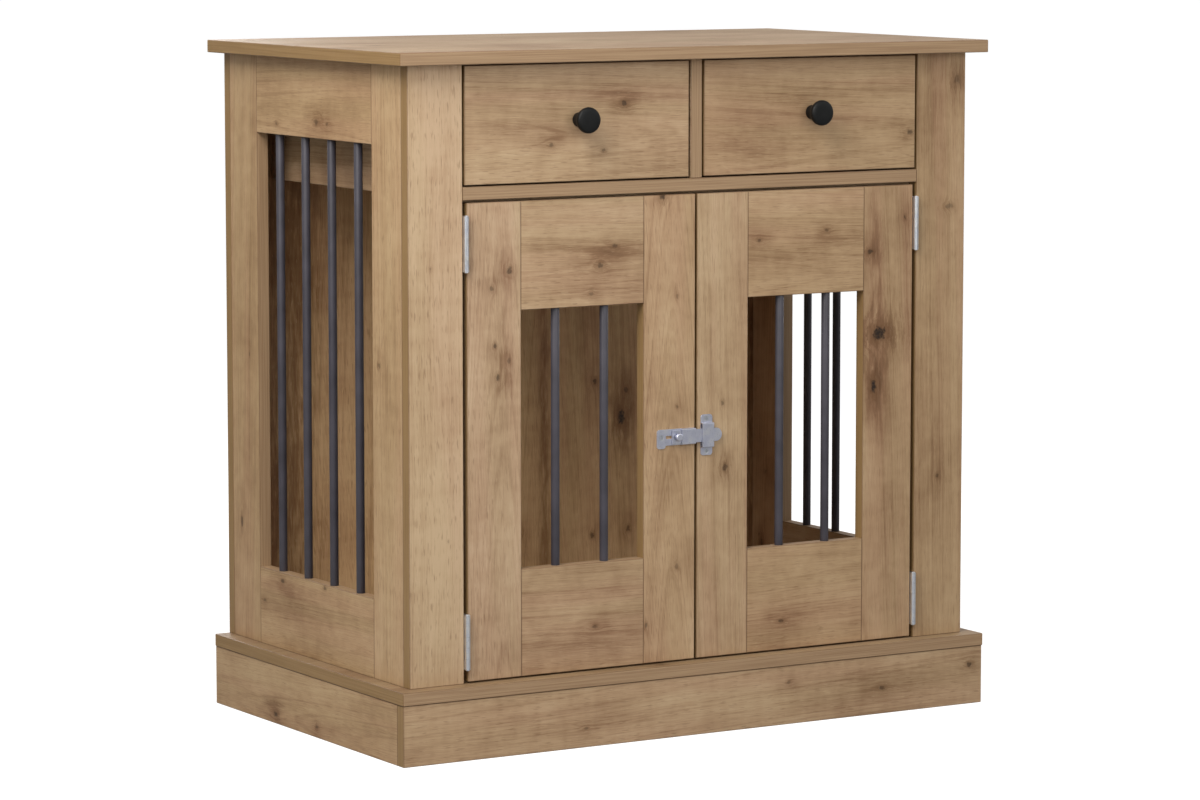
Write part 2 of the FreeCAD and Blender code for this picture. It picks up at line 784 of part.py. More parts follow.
boards = {}
boards["tabletop"] = [tabletop()]
boards["floor_board"] = [floor_board()]
for name, shape in plinth().items():
    boards[name] = [shape]
boards["back_panel"] = [back_panel()]
boards["drawer_shelf"] = [shelf()]
boards["drawer_divider"] = [divider()]
boards["door_stop"] = [door_stop()]
for name, side in (("left", -1), ("right", 1)):
    boards[name + "_front_post"] = [front_post(side)]
    boards[name + "_bay_panel"] = [bay_panel(side)]
    boards.update(side_frame(name, side))
for name in boards:
    save(name, [cut_near(shape, cabinet_holes) for shape in boards[name]])

save("hinge_post_leaves", post_hinges)
save("cabinet_fasteners", cabinet_fasteners)
save("cabinet_runners", cabinet_runners())
save("latch_bolt", latch_bolt())
for name, side in (("left", -1), ("right", 1)):
    moving = {}
    moving.update(door(name + "_door", side))
    moving.update(drawer(name + "_drawer", side))
    for node in moving:
        save(node, moving[node])
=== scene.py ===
import json
import math
import bmesh
import bpy
import numpy as np
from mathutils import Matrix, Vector


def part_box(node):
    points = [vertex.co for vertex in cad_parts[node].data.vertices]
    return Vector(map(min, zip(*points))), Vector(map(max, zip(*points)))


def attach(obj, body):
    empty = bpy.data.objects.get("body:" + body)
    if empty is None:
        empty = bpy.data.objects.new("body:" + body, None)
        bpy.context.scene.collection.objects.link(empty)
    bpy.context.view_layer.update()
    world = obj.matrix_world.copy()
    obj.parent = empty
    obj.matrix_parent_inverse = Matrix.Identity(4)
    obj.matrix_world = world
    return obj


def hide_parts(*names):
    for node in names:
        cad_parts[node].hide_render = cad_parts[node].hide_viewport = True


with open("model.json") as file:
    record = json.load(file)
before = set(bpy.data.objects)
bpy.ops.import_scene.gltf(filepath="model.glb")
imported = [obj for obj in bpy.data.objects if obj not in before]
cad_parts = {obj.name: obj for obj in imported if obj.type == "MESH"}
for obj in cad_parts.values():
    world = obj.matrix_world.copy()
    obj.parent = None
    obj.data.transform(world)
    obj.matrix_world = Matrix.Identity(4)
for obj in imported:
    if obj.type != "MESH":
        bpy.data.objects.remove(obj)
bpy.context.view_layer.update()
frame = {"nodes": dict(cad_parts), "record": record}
nodes = frame["nodes"]
bodies = frame["record"]["behaviour"]["bodies"]
bodyOf = {node: body for body, members in bodies.items() for node in members}
mm = 0.001
alongX, alongY, alongZ = 0, 1, 2
print("frame:", len(nodes), "nodes")


# camera and light

view = {
    "azimuth": -31.063,       # degrees, to the left of straight on
    "elevation": 6.587,
    "distance": 5.450,
    "target": (0.0031, 0.00375, 0.3693),
    "lens": 135.54,
    "sensor": 36.0,
    "clipEnd": 300.0,
}
studio = {
    "seen": 1.0,              # the white surround, as the camera sees it
    "mirrored": 0.36,         # as gloss and metal see it
    "ambient": 0.055,
    "aim": (0.0, 0.0, 0.42),
    # azimuth, elevation, distance, diameter, watts, colour
    "boxes": [
        (-60, 45, 2.6, 1.6, 57.0, (1.0, 0.975, 0.935)),
        (-60, 20, 2.6, 1.6, 17.0, (1.0, 0.96, 0.90)),
        (0, 20, 2.6, 1.6, 20.0, (1.0, 0.985, 0.95)),
        (60, 20, 2.6, 1.6, 10.0, (1.0, 0.985, 0.95)),
        (0, 88, 2.6, 1.6, 10.0, (1.0, 1.0, 1.0)),
        (180, 18, 2.6, 1.6, 26.0, (1.0, 0.985, 0.96)),    # for the back
        (110, 18, 2.6, 1.6, 26.0, (1.0, 0.985, 0.96)),    # for the right side
    ],
}


def backVector(azimuth, elevation):
    a, e = math.radians(azimuth), math.radians(elevation)
    return Vector((math.sin(a) * math.cos(e), -math.cos(a) * math.cos(e), math.sin(e)))


# stands an object off from a point and turns its front to that point
def aimAt(thing, target, azimuth, elevation, distance):
    back = backVector(azimuth, elevation)
    thing.location = Vector(target) + back * distance
    thing.rotation_mode = "QUATERNION"
    thing.rotation_quaternion = (-back).to_track_quat("-Z", "Y")
    bpy.context.scene.collection.objects.link(thing)


def makeCamera():
    data = bpy.data.cameras.new("camera")
    data.lens = view["lens"]
    data.sensor_width = view["sensor"]
    data.clip_end = view["clipEnd"]
    camera = bpy.data.objects.new("camera", data)
    aimAt(camera, view["target"], view["azimuth"], view["elevation"], view["distance"])
    bpy.context.scene.camera = camera


def makeLight():
    scene = bpy.context.scene
    scene.view_settings.view_transform = "Standard"
    scene.world = bpy.data.worlds.new("studio")
    scene.world.use_nodes = True
    tree = scene.world.node_tree
    rays = tree.nodes.new("ShaderNodeLightPath")
    gloss = tree.nodes.new("ShaderNodeMapRange")
    gloss.inputs["To Min"].default_value = studio["ambient"]
    gloss.inputs["To Max"].default_value = studio["mirrored"]
    direct = tree.nodes.new("ShaderNodeMath")
    direct.operation = "MAXIMUM"
    seen = tree.nodes.new("ShaderNodeMath")
    seen.operation = "MULTIPLY"
    seen.inputs[1].default_value = studio["seen"]
    tree.links.new(rays.outputs["Is Glossy Ray"], gloss.inputs["Value"])
    tree.links.new(rays.outputs["Is Camera Ray"], seen.inputs[0])
    tree.links.new(seen.outputs[0], direct.inputs[0])
    tree.links.new(gloss.outputs["Result"], direct.inputs[1])
    tree.links.new(direct.outputs[0], tree.nodes["Background"].inputs["Strength"])
    tree.nodes["Background"].inputs["Color"].default_value = (1.0, 1.0, 1.0, 1.0)
    for number, (azimuth, elevation, distance, diameter, watts, colour) in enumerate(studio["boxes"]):
        data = bpy.data.lights.new("softbox_%d" % number, "AREA")
        data.shape = "DISK"
        data.size = diameter
        data.energy = watts
        data.color = colour
        box = bpy.data.objects.new("softbox_%d" % number, data)
        box.visible_camera = False
        aimAt(box, studio["aim"], azimuth, elevation, distance)


# shader nodes

# bytes of a screen colour to linear light
def linear(*values):
    parts = [value / 255 for value in values]
    return tuple(v / 12.92 if v <= 0.04045 else ((v + 0.055) / 1.055) ** 2.4 for v in parts) + (1.0,)


class Shader:
    def __init__(self, name):
        self.material = bpy.data.materials.new(name)
        self.material.use_nodes = True
        self.tree = self.material.node_tree
        self.tree.nodes.clear()
        self.output = self.add("ShaderNodeOutputMaterial")
        self.surface = self.add("ShaderNodeBsdfPrincipled")
        self.tree.links.new(self.surface.outputs["BSDF"], self.output.inputs["Surface"])
        self.place = self.add("ShaderNodeTexCoord")

    def add(self, kind, **settings):
        node = self.tree.nodes.new(kind)
        for key, value in settings.items():
            setattr(node, key, value)
        return node

    def feed(self, socket, value):
        if isinstance(value, bpy.types.NodeSocket):
            self.tree.links.new(value, socket)
        else:
            socket.default_value = value

    def maths(self, operation, *values):
        node = self.add("ShaderNodeMath", operation=operation)
        for socket, value in zip(node.inputs, values):
            self.feed(socket, value)
        return node.outputs[0]

    def axes(self, output="Object"):
        node = self.add("ShaderNodeSeparateXYZ")
        self.feed(node.inputs[0], self.place.outputs[output])
        return list(node.outputs)

    # noise over a place given by three values, each already divided by the size that it should have
    def noise(self, x, y, z, scale=1.0, detail=2.0, roughness=0.5):
        point = self.add("ShaderNodeCombineXYZ")
        for socket, value in zip(point.inputs, (x, y, z)):
            self.feed(socket, value)
        node = self.add("ShaderNodeTexNoise")
        self.feed(node.inputs["Vector"], point.outputs[0])
        node.inputs["Scale"].default_value = scale
        node.inputs["Detail"].default_value = detail
        node.inputs["Roughness"].default_value = roughness
        return node.outputs["Fac"]

    # adds a noise, centred on nothing, to a value
    def vary(self, base, noise, amount):
        return self.maths("MULTIPLY_ADD", self.maths("SUBTRACT", noise, 0.5), amount, base)

    # 0 at start and 1 at end, eased between; start may be the larger
    def ease(self, value, start, end):
        node = self.add("ShaderNodeMapRange", interpolation_type="SMOOTHSTEP")
        self.feed(node.inputs["Value"], value)
        turned = start > end
        node.inputs["From Min"].default_value = min(start, end)
        node.inputs["From Max"].default_value = max(start, end)
        node.inputs["To Min"].default_value = 1.0 if turned else 0.0
        node.inputs["To Max"].default_value = 0.0 if turned else 1.0
        return node.outputs["Result"]

    def ramp(self, value, stops):
        node = self.add("ShaderNodeValToRGB")
        while len(node.color_ramp.elements) < len(stops):
            node.color_ramp.elements.new(0.5)
        for element, (position, colour) in zip(node.color_ramp.elements, stops):
            element.position = position
            element.color = colour
        self.feed(node.inputs["Fac"], value)
        return node.outputs["Color"]

    # colours go in at sockets 6 and 7 of this node, and come out at 2
    def mix(self, amount, first, second, kind="MIX"):
        node = self.add("ShaderNodeMix", data_type="RGBA", blend_type=kind)
        self.feed(node.inputs[0], amount)
        self.feed(node.inputs[6], first)
        self.feed(node.inputs[7], second)
        return node.outputs[2]

    def bump(self, height, strength, distance):
        node = self.add("ShaderNodeBump")
        node.inputs["Strength"].default_value = strength
        node.inputs["Distance"].default_value = distance
        self.feed(node.inputs["Height"], height)
        self.feed(self.surface.inputs["Normal"], node.outputs["Normal"])

    def set(self, **values):
        for name, value in values.items():
            self.feed(self.surface.inputs[name.replace("_", " ")], value)


# oak boards

facing = (0.45, 0.55)         # how squarely a surface faces an axis, from not at all to all
oak = {
    "light": linear(194, 168, 135),
    "mid": linear(176, 148, 115),
    "dark": linear(137, 107, 77),
    "lightWarm": linear(195, 167, 136),
    "midWarm": linear(177, 146, 115),
    "darkWarm": linear(140, 106, 79),
    "deep": linear(104, 74, 49),
    "reach": 0.65,            # how much of the scale of shades, from light to deep, one step takes
    "pore": linear(118, 86, 57),
    "fleck": linear(206, 183, 150),
    "knot": linear(36, 23, 14),
    "knotBark": linear(64, 46, 28),
    "knotRing": linear(108, 76, 47),
    "edge": linear(170, 142, 111),
    "edgeDark": linear(149, 120, 91),
    # painted shade: darker, yellower band colours for sides facing along X
    "edgeShadedSide": linear(152, 123, 84),
    "edgeShadedSideDark": linear(136, 108, 70),
    "line": linear(80, 54, 32),
    "roughness": 0.47,
    "roughnessSpread": 0.16,
    "gloss": 0.4,
    "bump": (0.2, 0.25 * mm),
    "plain": 0.47,            # shade of plain wood on the scale
    "stops": (0.12, 0.5, 0.95, 1.5),
    "seedStep": 7.31,
    "wander": (2.4, 7.0, 14 * mm),    # noise per metre along and across, and how far the grain wanders
    "lean": 0.5,              # shift of the grain for each step into the board
    "follow": 0.5,            # share of the ring distance in the lines that fibres follow
    "warmth": (2.0, 30.0, 0.35, 0.65),
    "mottle": (26.0, 150.0, 3.4),     # noise per metre along and across, strength
    "ringMix": 0.55,
    "ragged": 230.0,
    "heart": (380.0, 0.46, 0.58),
    "edgeLines": (9.0, 900.0),        # noise per metre along and across
    "seam": (1.2 * mm, 0.2 * mm, 0.6),    # where it starts and is full, strength
    # size across the grain in mm, noise per metre along it, strength
    "band": (9.0, 1.6, 0.42),
    "ringLine": (2.0, 1.3, 0.15),
    "streak": (1.5, 11.0, 0.42),
    "fine": (0.62, 30.0, 0.56),
    "poreSize": (0.8, 60.0, 0.42),
    "fleckSize": (1.1, 90.0, 0.20),
    "patch": (80.0, 6.0, 0.95),
    "flame": (22.0, 60.0, 0.34),
    "cloud": 0.82,
    "smoke": 0.38,            # shade round a knot
}
# where noise turns into a line, pore or fleck
lineEase = (0.50, 0.68)
poreEase = (0.60, 0.72)
fleckEase = (0.64, 0.74)
knotForm = {
    "ragged": (1.7, 1.9),
    "nearFall": -0.16,
    "smokeFall": -0.035,
    "bend": 0.7,              # of the knot's half width
    "swell": 1.1,
    "core": (1.3, 0.2),
    "ring": (6.0, 0.5),
}
smallKnot = {"size": (1.4, 3.6), "stretch": (1.0, 1.9), "darkness": (0.3, 0.75)}
# each noise starts at its own place, so that no two are alike
shift = {
    "band": 1, "streak": 2, "fine": 3, "poreSize": 4, "fleckSize": 5, "patch": 6, "warmth": 7, "mottle": 8,
    "heart": 9, "edgeLines": 10, "raggedU": 11, "raggedV": 12, "ringLine": 13, "flame": 14,
}


# A knot, as along, side, length, width and darkness: a ragged oval whose grain bends round it, swells and
# darkens. u and v are the place over its half sizes, and each fall is e to the power of its rate times
# u squared plus v squared.
def addKnot(s, along, side, ragged, knot):
    atAlong, atSide, length, width, darkness = knot
    u = s.maths("DIVIDE", s.maths("SUBTRACT", along, atAlong * mm), length * mm)
    v = s.maths("DIVIDE", s.maths("SUBTRACT", side, atSide * mm), width * mm)
    uRough = s.vary(u, ragged[0], knotForm["ragged"][0])
    vRough = s.vary(v, ragged[1], knotForm["ragged"][1])
    r2 = s.maths("MULTIPLY_ADD", uRough, uRough, s.maths("MULTIPLY", vRough, vRough))
    near = s.maths("EXPONENT", s.maths("MULTIPLY", r2, knotForm["nearFall"]))
    smoke = s.maths("EXPONENT", s.maths("MULTIPLY", r2, knotForm["smokeFall"]))
    bend = s.maths("MULTIPLY", s.maths("MULTIPLY", v, near), width * mm * knotForm["bend"])
    swell = s.maths("MULTIPLY", near, width * mm * knotForm["swell"])
    core = s.maths("MULTIPLY", s.ease(r2, *knotForm["core"]), darkness)
    ring = s.maths("MULTIPLY", s.ease(r2, *knotForm["ring"]), darkness)
    smoke = s.maths("MULTIPLY", smoke, oak["smoke"] * darkness)
    return bend, swell, core, ring, smoke


# the grain's place across the board: it wanders, leans with the depth and bends round the knots
def bentGrain(s, board, seed, along, side, depthIn):
    perAlong, perSide, reach = oak["wander"]
    wander = s.noise(s.maths("MULTIPLY", along, perAlong), s.maths("MULTIPLY", side, perSide), seed)
    bent = s.maths("MULTIPLY_ADD", depthIn, oak["lean"], s.vary(side, wander, reach))
    swelling, cores, rings, smokes = 0.0, 0.0, 0.0, 0.0
    starts = (seed + shift["raggedU"], seed + shift["raggedV"])
    ragged = [s.noise(along, side, start, oak["ragged"], 3.0) for start in starts]
    for knot in board.get("knots", ()):
        bend, swell, core, ring, smoke = addKnot(s, along, side, ragged, knot)
        bent = s.maths("SUBTRACT", bent, bend)
        swelling = s.maths("ADD", swelling, swell)
        cores = s.maths("MAXIMUM", cores, core)
        rings = s.maths("MAXIMUM", rings, ring)
        smokes = s.maths("ADD", smokes, smoke)
    return bent, swelling, cores, rings, smokes


# adds long dark clouds to the shade round the knots, and breaks both up with a mottle; the clouds are dark
# wood, and on the back panel some are painted shadows
def addCloudsAndShadows(s, board, seed, along, side, bent, smokes):
    perAlong, perSide, strong = oak["mottle"]
    mottle = s.noise(s.maths("MULTIPLY", along, perAlong), s.maths("MULTIPLY", side, perSide),
                     seed + shift["mottle"], 1.0, 4.0, 0.6)
    for atAlong, atSide, length, width, strength in board.get("cloudsAndShadows", ()):
        u = s.maths("DIVIDE", s.maths("SUBTRACT", along, atAlong * mm), length * mm)
        v = s.maths("DIVIDE", s.maths("SUBTRACT", bent, atSide * mm), width * mm)
        r2 = s.maths("MULTIPLY_ADD", u, u, s.maths("MULTIPLY", v, v))
        cloud = s.maths("EXPONENT", s.maths("MULTIPLY", r2, -1.0))
        smokes = s.maths("MULTIPLY_ADD", cloud, strength * oak["cloud"], smokes)
    return s.maths("MULTIPLY", smokes, s.vary(1.0, mottle, strong))


# Distance from the pith line, plus the tree's taper: the square root of offset squared plus depth squared.
def ringPlace(s, board, along, bent, swelling):
    pith, pithDepth, taper = board.get("pith", (0.0, 60.0, 0.02))
    offset = s.maths("SUBTRACT", bent, pith * mm)
    ringAt = s.maths("SQRT", s.maths("MULTIPLY_ADD", offset, offset, (pithDepth * mm) ** 2))
    return s.maths("ADD", s.maths("MULTIPLY_ADD", along, taper, ringAt), swelling)


# a noise drawn out along the grain
def drawnOut(s, along, value, seed, size, detail, roughness=0.5):
    width, run = oak[size][:2]
    across = s.maths("DIVIDE", value, width * mm)
    return s.noise(across, s.maths("MULTIPLY", along, run), seed + shift[size], 1.0, detail, roughness)


# narrow sides carry an edge band, whose faint lines run along the side; where the side faces along X the
# band is darker and yellower: painted shade, as sides get less light than the front
def addEdgeBand(s, board, seed, colour, along, side, depth):
    normal = s.axes("Normal")
    onFace = s.ease(s.maths("ABSOLUTE", normal[board["thick"]]), *facing)
    onEnd = s.ease(s.maths("ABSOLUTE", normal[board["grain"]]), *facing)
    lengthwise = s.maths("MULTIPLY", along, s.maths("SUBTRACT", 1.0, onEnd))
    run = s.maths("ADD", lengthwise, s.maths("MULTIPLY", side, onEnd))
    perRun, perDepth = oak["edgeLines"]
    lines = s.noise(s.maths("MULTIPLY", run, perRun), s.maths("MULTIPLY", depth, perDepth),
                    seed + shift["edgeLines"], 1.0, 3.0)
    lineShade = s.ease(lines, 0.3, 0.7)
    # painted shade: sides facing along X take the darker band
    shadedSideways = s.ease(s.maths("ABSOLUTE", normal[alongX]), *facing)
    frontBand = s.mix(lineShade, oak["edge"], oak["edgeDark"])
    shadedSideBand = s.mix(lineShade, oak["edgeShadedSide"], oak["edgeShadedSideDark"])
    return s.mix(s.maths("SUBTRACT", 1.0, onFace), colour, s.mix(shadedSideways, frontBand, shadedSideBand))


# A thin dark line where a board meets its neighbour. The way to the nearest edge is the middle one of the
# three distances to the board's faces.
def addSeams(s, node, board, colour, axes):
    low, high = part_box(node)
    distances = []
    for axis in (alongX, alongY, alongZ):
        centre, half = (low[axis] + high[axis]) / 2, (high[axis] - low[axis]) / 2
        if axis == board["grain"]:
            half -= board.get("tenon", 0.0) * mm
        away = s.maths("ABSOLUTE", s.maths("SUBTRACT", axes[axis], centre))
        distances.append(s.maths("SUBTRACT", half, away))
    a, b, c = distances
    lesser, greater = s.maths("MINIMUM", a, b), s.maths("MAXIMUM", a, b)
    edgeDistance = s.maths("MAXIMUM", lesser, s.maths("MINIMUM", greater, c))
    start, full, strength = oak["seam"]
    return s.mix(s.maths("MULTIPLY", s.ease(edgeDistance, start, full), strength), colour, oak["line"])


# Growth rings cut lengthwise. Bands, streaks, fibres, pores and flecks are noises drawn out along them.
def oakMaterial(node, board):
    s = Shader("oak_" + node)
    low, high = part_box(node)
    grain, thick = board["grain"], board["thick"]
    seed = board["seed"] * oak["seedStep"]
    axes = s.axes()
    along, side, depth = axes[grain], axes[3 - grain - thick], axes[thick]
    depthIn = s.maths("SUBTRACT", depth, (low[thick] + high[thick]) / 2)
    bent, swelling, cores, rings, smokes = bentGrain(s, board, seed, along, side, depthIn)
    smokes = addCloudsAndShadows(s, board, seed, along, side, bent, smokes)
    ringAt = ringPlace(s, board, along, bent, swelling)
    flow = s.maths("MULTIPLY_ADD", ringAt, oak["follow"], bent)

    band = drawnOut(s, along, ringAt, seed, "band", 2.0)
    ringLine = s.ease(drawnOut(s, along, ringAt, seed, "ringLine", 1.0), *lineEase)
    streak = drawnOut(s, along, flow, seed, "streak", 3.0, 0.6)
    fine = drawnOut(s, along, flow, seed, "fine", 2.0)
    pore = s.ease(drawnOut(s, along, flow, seed, "poreSize", 1.0), *poreEase)
    fleck = s.ease(drawnOut(s, along, flow, seed, "fleckSize", 1.0), *fleckEase)
    layers = {"band": band, "streak": streak, "fine": fine}
    layers["patch"] = drawnOut(s, along, side, seed, "patch", 2.0)
    layers["flame"] = drawnOut(s, along, flow, seed, "flame", 2.0)
    shade = s.maths("MULTIPLY_ADD", ringLine, oak["ringLine"][2], oak["plain"] + board.get("shade", 0.0))
    for size, noise in layers.items():
        shade = s.vary(shade, noise, oak[size][2])
    shade = s.maths("MULTIPLY", s.maths("ADD", shade, smokes), oak["reach"])

    stops = [stop * oak["reach"] for stop in oak["stops"]]
    cool = s.ramp(shade, list(zip(stops, (oak["light"], oak["mid"], oak["dark"], oak["deep"]))))
    warmShades = (oak["lightWarm"], oak["midWarm"], oak["darkWarm"], oak["deep"])
    warm = s.ramp(shade, list(zip(stops, warmShades)))
    perAlong, perFlow, coolAt, warmAt = oak["warmth"]
    warmth = s.noise(s.maths("MULTIPLY", along, perAlong), s.maths("MULTIPLY", flow, perFlow),
                     seed + shift["warmth"], 1.0, 1.0)
    colour = s.mix(s.ease(warmth, coolAt, warmAt), cool, warm)
    colour = s.mix(s.maths("MULTIPLY", pore, oak["poreSize"][2]), colour, oak["pore"])
    colour = s.mix(s.maths("MULTIPLY", fleck, oak["fleckSize"][2]), colour, oak["fleck"])
    colour = s.mix(s.maths("MULTIPLY", rings, oak["ringMix"]), colour, oak["knotRing"])
    scale, darkAt, barkAt = oak["heart"]
    bark = s.ease(s.noise(along, side, seed + shift["heart"], scale, 2.0), darkAt, barkAt)
    colour = s.mix(cores, colour, s.mix(bark, oak["knot"], oak["knotBark"]))

    # the board's tint: on the drawer boxes their own paler colour, on the other tinted boards painted light
    # and shade matched to how light falls on them
    colour = s.mix(1.0, colour, (*board.get("tintAndLight", (1.0, 1.0, 1.0)), 1.0), "MULTIPLY")
    colour = addEdgeBand(s, board, seed, colour, along, side, depth)
    colour = addSeams(s, node, board, colour, axes)
    roughness = s.vary(oak["roughness"], fine, oak["roughnessSpread"])
    s.set(Base_Color=colour, Specular_IOR_Level=oak["gloss"], Roughness=roughness)
    fibres = s.maths("MULTIPLY_ADD", fine, 0.5, s.maths("MULTIPLY", streak, 0.5))
    s.bump(s.maths("SUBTRACT", fibres, pore), *oak["bump"])
    return s.material


# small knots at random places on a board
def scattered(node, board):
    random = np.random.RandomState(board["seed"])
    low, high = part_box(node)
    across = 3 - board["grain"] - board["thick"]
    knots = []
    for _ in range(board["scatter"]):
        along = random.uniform(low[board["grain"]], high[board["grain"]]) / mm
        side = random.uniform(low[across], high[across]) / mm
        size = random.uniform(*smallKnot["size"])
        length = size * random.uniform(*smallKnot["stretch"])
        knots.append((along, side, length, size, random.uniform(*smallKnot["darkness"])))
    return knots


# painted light: a lighter tint for the back panel, standing in for light reaching the inside
insidePaintedLight = (1.18, 1.12, 0.98)
# painted shade: the left side's boards darker and yellower, as that side gets less light than the front
leftSidePaintedShade = (0.97, 0.95, 0.88)
# painted shade: boards at the right of the front darker, for the light falling off from left to right
rightPaintedShade = (0.94, 0.92, 0.88)
